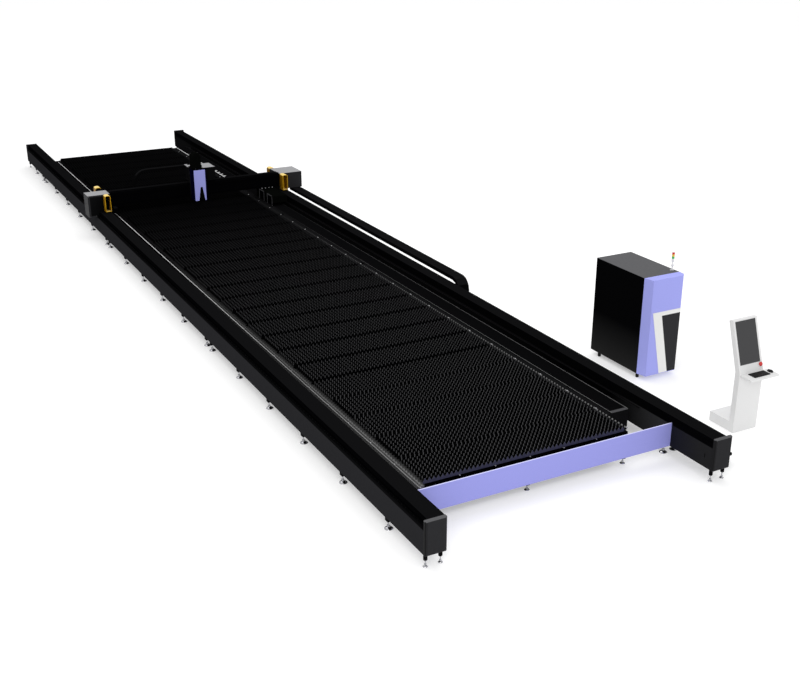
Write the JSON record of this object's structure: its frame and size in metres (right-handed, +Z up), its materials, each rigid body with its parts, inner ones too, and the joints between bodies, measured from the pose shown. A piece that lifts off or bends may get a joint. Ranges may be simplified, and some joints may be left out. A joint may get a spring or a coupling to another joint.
{
  "type": "fiber laser cutting machine",
  "caption": "Long open sheet-cutting machine: slatted table between two rails, a travelling gantry with a lifting laser head, extraction duct, drag chains, source cabinet and console.",
  "frame": {"origin": "centre of the footprint's bounding box, on the floor", "axes": "+Z up, +Y along the rails away from the console end, +X from the left rail to the cabinet side"},
  "size_m": [6.89, 24.438, 2.1],
  "materials": {
    "rail_black": "satin black paint",
    "cap_black": "satin black paint",
    "gantry_black": "satin black paint",
    "cabinet_black": "fine texture black paint",
    "ground_steel": "ground",
    "rack_steel": "milled teeth",
    "lilac_paint": "satin periwinkle paint",
    "frame_paint": "dark grey paint",
    "pan_steel": "mill finish",
    "leg_black": "black paint",
    "foot_chrome": "zinc plated",
    "slat_steel": "cut plate",
    "support_steel": "cut plate",
    "duct_steel": "dark grey sheet",
    "belt_rubber": "matt",
    "chain_plastic": "moulded links",
    "tray_steel": "black paint",
    "carriage_steel": "black paint",
    "pinion_steel": "milled teeth",
    "servo_black": "black housing",
    "block_steel": "ground",
    "cover_paint": "grey and black paint",
    "bumper_gold": "golden yellow paint",
    "hood_black": "black paint",
    "saddle_alloy": "black paint",
    "column_black": "black paint",
    "screw_steel": "rolled thread",
    "slide_alloy": "dark paint",
    "head_alloy": "dark anodised",
    "nozzle_chrome": "polished",
    "unit_grey": "grey paint",
    "white_paint": "white paint",
    "inset_black": "satin black",
    "tower_white": "moulded",
    "lens_green": "translucent",
    "lens_yellow": "translucent",
    "lens_red": "translucent",
    "screen_glass": "dark glass front",
    "key_black": "moulded",
    "stop_red": "moulded"
  },
  "bodies": {
    "bed": {"left_rail": "rail_black", "right_rail": "rail_black", "rail_end_caps": "cap_black", "gantry_guide_rails": "ground_steel", "gear_racks": "rack_steel", "near_cross_beam": "lilac_paint", "rear_cross_beams": "rail_black", "table_frame": "frame_paint", "slag_pans": "pan_steel", "rail_legs": "leg_black", "foot_pads": "foot_chrome", "slats": "slat_steel", "slat_supports": "support_steel", "extraction_duct": "duct_steel", "duct_belt": "belt_rubber", "y_chain_lower_run": "chain_plastic", "y_chain_tray": "tray_steel", "cabinet_body": "cabinet_black", "source_units": "unit_grey", "tower_stem": "tower_white", "lens_green": "lens_green", "lens_yellow": "lens_yellow", "lens_red": "lens_red", "console_stand": "white_paint", "console_screen": "screen_glass", "keyboard": "key_black", "mouse": "key_black"},
    "gantry": {"gantry_beam": "gantry_black", "carriage_left": "carriage_steel", "carriage_right": "carriage_steel", "y_servos": "servo_black", "guide_blocks": "block_steel", "cover_left": "cover_paint", "cover_right": "cover_paint", "bumpers": "bumper_gold", "x_guides_and_rack": "ground_steel", "suction_hood": "hood_black", "x_chain_lower_run": "chain_plastic", "y_chain_upper_run": "chain_plastic"},
    "y_bend_top": {"y_chain_upper_bend": "chain_plastic"},
    "y_bend_foot": {"y_chain_lower_bend": "chain_plastic"},
    "wheel_left": {"pinion_left": "pinion_steel"},
    "wheel_right": {"pinion_right": "pinion_steel"},
    "saddle": {"saddle": "saddle_alloy", "saddle_box": "cover_paint", "z_drive_cover": "column_black", "saddle_servos": "servo_black", "x_chain_upper_run": "chain_plastic"},
    "x_bend_top": {"x_chain_upper_bend": "chain_plastic"},
    "x_bend_foot": {"x_chain_lower_bend": "chain_plastic"},
    "x_wheel": {"x_pinion": "pinion_steel"},
    "screw": {"z_screw": "screw_steel"},
    "head": {"z_slide": "slide_alloy", "cutting_head": "head_alloy", "nozzle": "nozzle_chrome", "head_cover": "lilac_paint"},
    "door": {"cabinet_door": "lilac_paint", "door_white_panel": "white_paint", "door_dark_inset": "inset_black"},
    "stop": {"stop_button": "stop_red"}
  },
  "joints": [
    {"name": "gantry_slide", "type": "slide", "parent": "bed", "child": "gantry", "axis": [0, 1, 0], "range_m": [-14.4, 6.85], "deforming": ["y_chain_upper_run", "y_chain_lower_run"]},
    {"name": "y_chain_foot_bend_slide", "type": "slide", "parent": "bed", "child": "y_bend_foot", "axis": [0, 1, 0], "range_m": [-7.25, 3.45]},
    {"name": "y_chain_top_bend_slide", "type": "slide", "parent": "gantry", "child": "y_bend_top", "axis": [0, 1, 0], "range_m": [-3.45, 7.25]},
    {"name": "left_pinion_spin", "type": "hinge", "parent": "gantry", "child": "wheel_left", "pos_m": [-3.2493, 3.831, 0.63], "axis": [0, 0, 1], "continuous": true},
    {"name": "right_pinion_spin", "type": "hinge", "parent": "gantry", "child": "wheel_right", "pos_m": [1.5803, 3.831, 0.63], "axis": [0, 0, 1], "continuous": true},
    {"name": "x_slide", "type": "slide", "parent": "gantry", "child": "saddle", "axis": [1, 0, 0], "range_m": [-1.8, 1.38], "deforming": ["x_chain_upper_run", "x_chain_lower_run"]},
    {"name": "x_chain_foot_bend_slide", "type": "slide", "parent": "gantry", "child": "x_bend_foot", "axis": [1, 0, 0], "range_m": [-0.92, 0.71]},
    {"name": "x_chain_top_bend_slide", "type": "slide", "parent": "saddle", "child": "x_bend_top", "axis": [1, 0, 0], "range_m": [-0.71, 0.92]},
    {"name": "x_pinion_spin", "type": "hinge", "parent": "saddle", "child": "x_wheel", "pos_m": [-0.625, 3.626, 1.1363], "axis": [0, 1, 0], "continuous": true},
    {"name": "z_slide", "type": "slide", "parent": "saddle", "child": "head", "axis": [0, 0, 1], "range_m": [-0.135, 0.055]},
    {"name": "z_screw_spin", "type": "hinge", "parent": "saddle", "child": "screw", "pos_m": [-0.836, 3.489, 1.2], "axis": [0, 0, 1], "range_deg": [-2500, 1100]},
    {"name": "door_hinge", "type": "hinge", "parent": "bed", "child": "door", "pos_m": [3.445, -8.8395, 0.935], "axis": [0, 0, 1], "range_deg": [0, 100]},
    {"name": "stop_press", "type": "slide", "parent": "bed", "child": "stop", "axis": [0, 0.9489, -0.3156], "range_m": [0, 0.005], "stiffness_N_per_m": 900, "springref_m": -0.001}
  ],
  "couplings": [
    {"joint": "y_chain_foot_bend_slide", "follows": "gantry_slide", "ratio": 0.5},
    {"joint": "y_chain_top_bend_slide", "follows": "gantry_slide", "ratio": -0.5},
    {"joint": "left_pinion_spin", "follows": "gantry_slide", "rad_per_m": -33.333},
    {"joint": "right_pinion_spin", "follows": "gantry_slide", "rad_per_m": 33.333},
    {"joint": "x_chain_foot_bend_slide", "follows": "x_slide", "ratio": 0.5},
    {"joint": "x_chain_top_bend_slide", "follows": "x_slide", "ratio": -0.5},
    {"joint": "x_pinion_spin", "follows": "x_slide", "rad_per_m": 35.714},
    {"joint": "z_screw_spin", "follows": "z_slide", "rad_per_m": 314.16}
  ]
}
